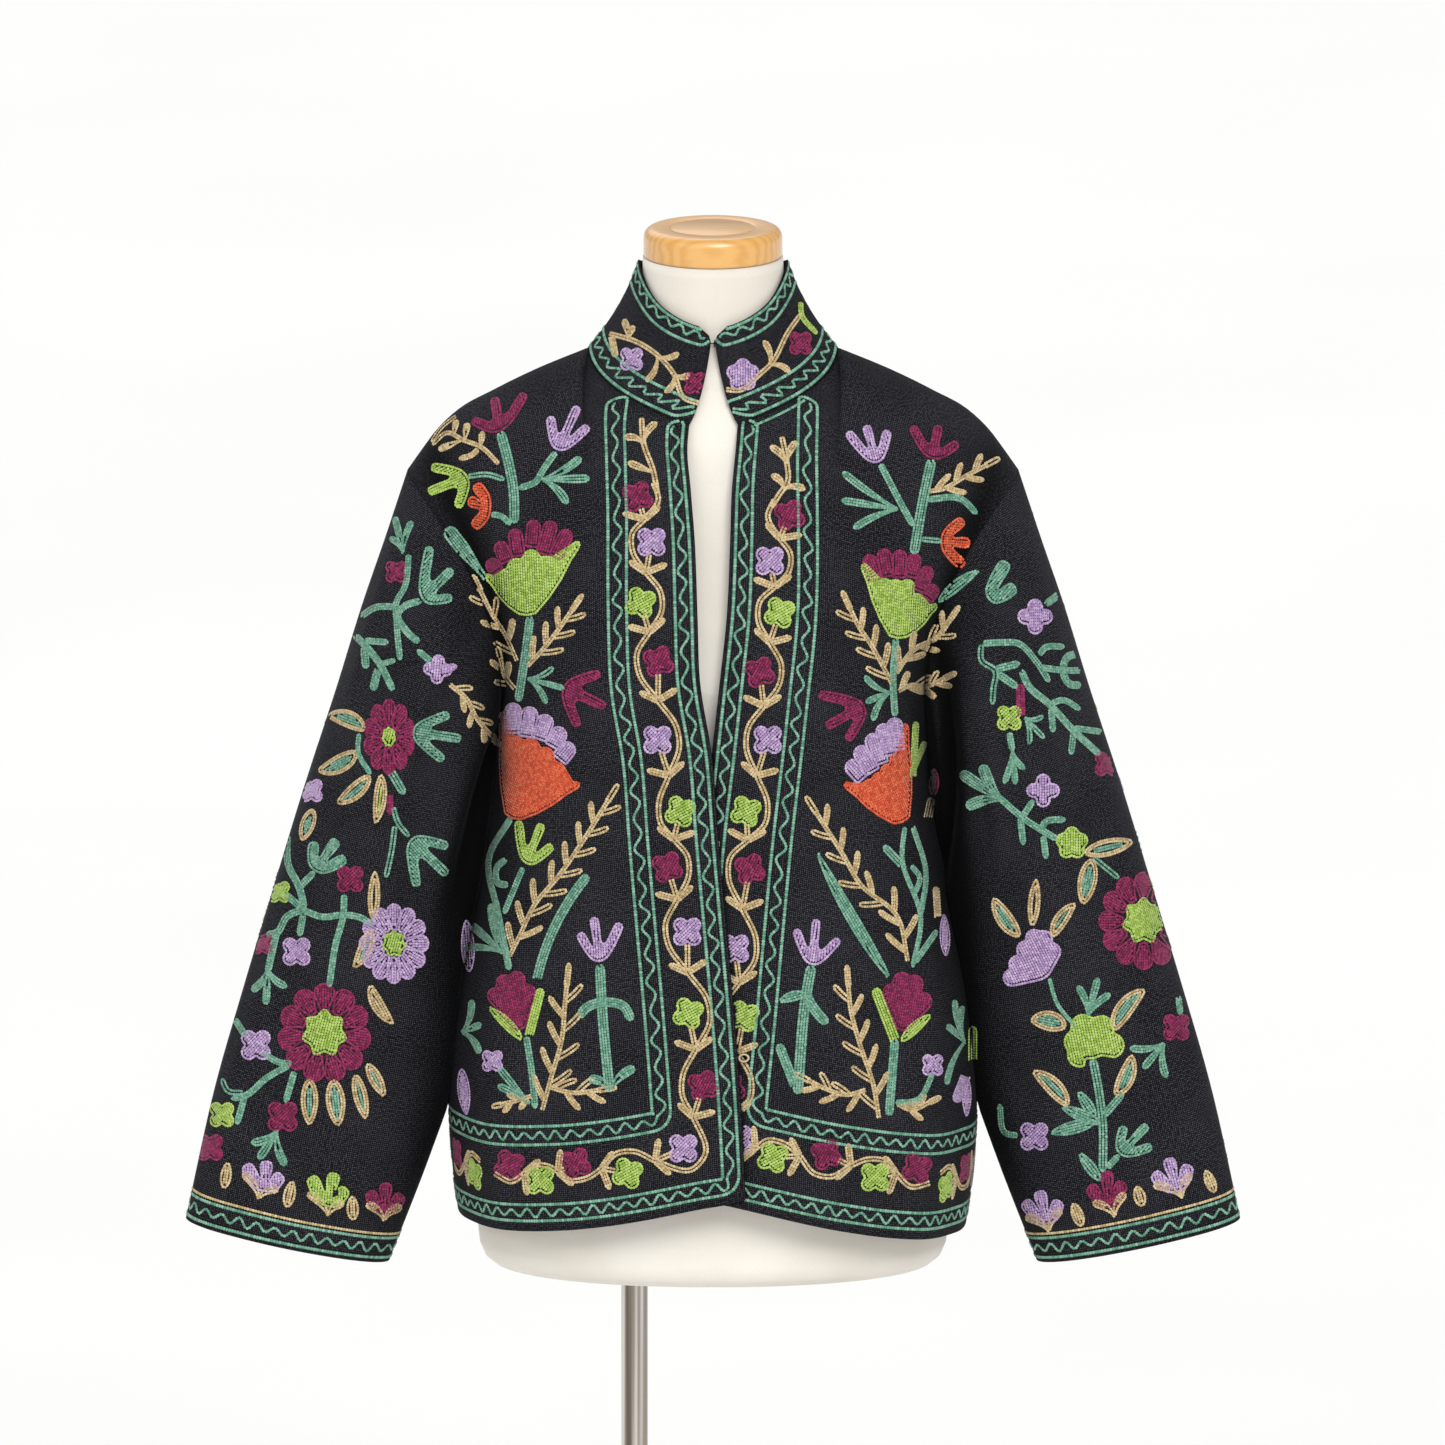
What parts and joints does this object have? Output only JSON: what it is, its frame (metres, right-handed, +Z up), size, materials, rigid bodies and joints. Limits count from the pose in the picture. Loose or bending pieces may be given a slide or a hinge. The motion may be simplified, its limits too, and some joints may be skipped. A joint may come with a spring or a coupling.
{
  "type": "embroidered stand-collar jacket on a limbless dress form with a pole stand",
  "caption": "Boxy open-front jacket with a stand collar, wide sleeves and chain-stitch flower embroidery, worn by a limbless dress form on a pole and round base.",
  "frame": {"origin": "centre of the round base plate's underside, on the floor", "axes": "+Z up along the stand, -Y out of the jacket's front, +X towards the wearer's left"},
  "size_m": [0.792, 0.38, 1.511],
  "materials": {
    "wool_cloth": "thick charcoal-black woven wool, matt",
    "jersey": "off-white cotton jersey stretched over the form",
    "neck_wood": "turned light wood with satin varnish",
    "stand_metal": "polished chromed steel",
    "hook_metal": "black lacquered wire",
    "eye_thread": "cream buttonhole thread",
    "green_thread": "wool chain stitch",
    "lime_thread": "wool chain stitch",
    "lilac_thread": "wool chain stitch",
    "maroon_thread": "wool chain stitch",
    "orange_thread": "wool chain stitch",
    "tan_thread": "wool chain stitch"
  },
  "bodies": {
    "root": {"front_right": "wool_cloth", "front_left": "wool_cloth", "back_right": "wool_cloth", "back_left": "wool_cloth", "sleeve_right": "wool_cloth", "sleeve_left": "wool_cloth", "collar": "wool_cloth", "collar_hook": "hook_metal", "collar_eye": "hook_metal", "thread_eye": "eye_thread", "dress_form": "jersey", "neck_cap": "neck_wood", "pole": "stand_metal", "pole_flange": "stand_metal", "pole_foot": "stand_metal", "base_plate": "stand_metal"}
  },
  "joints": []
}
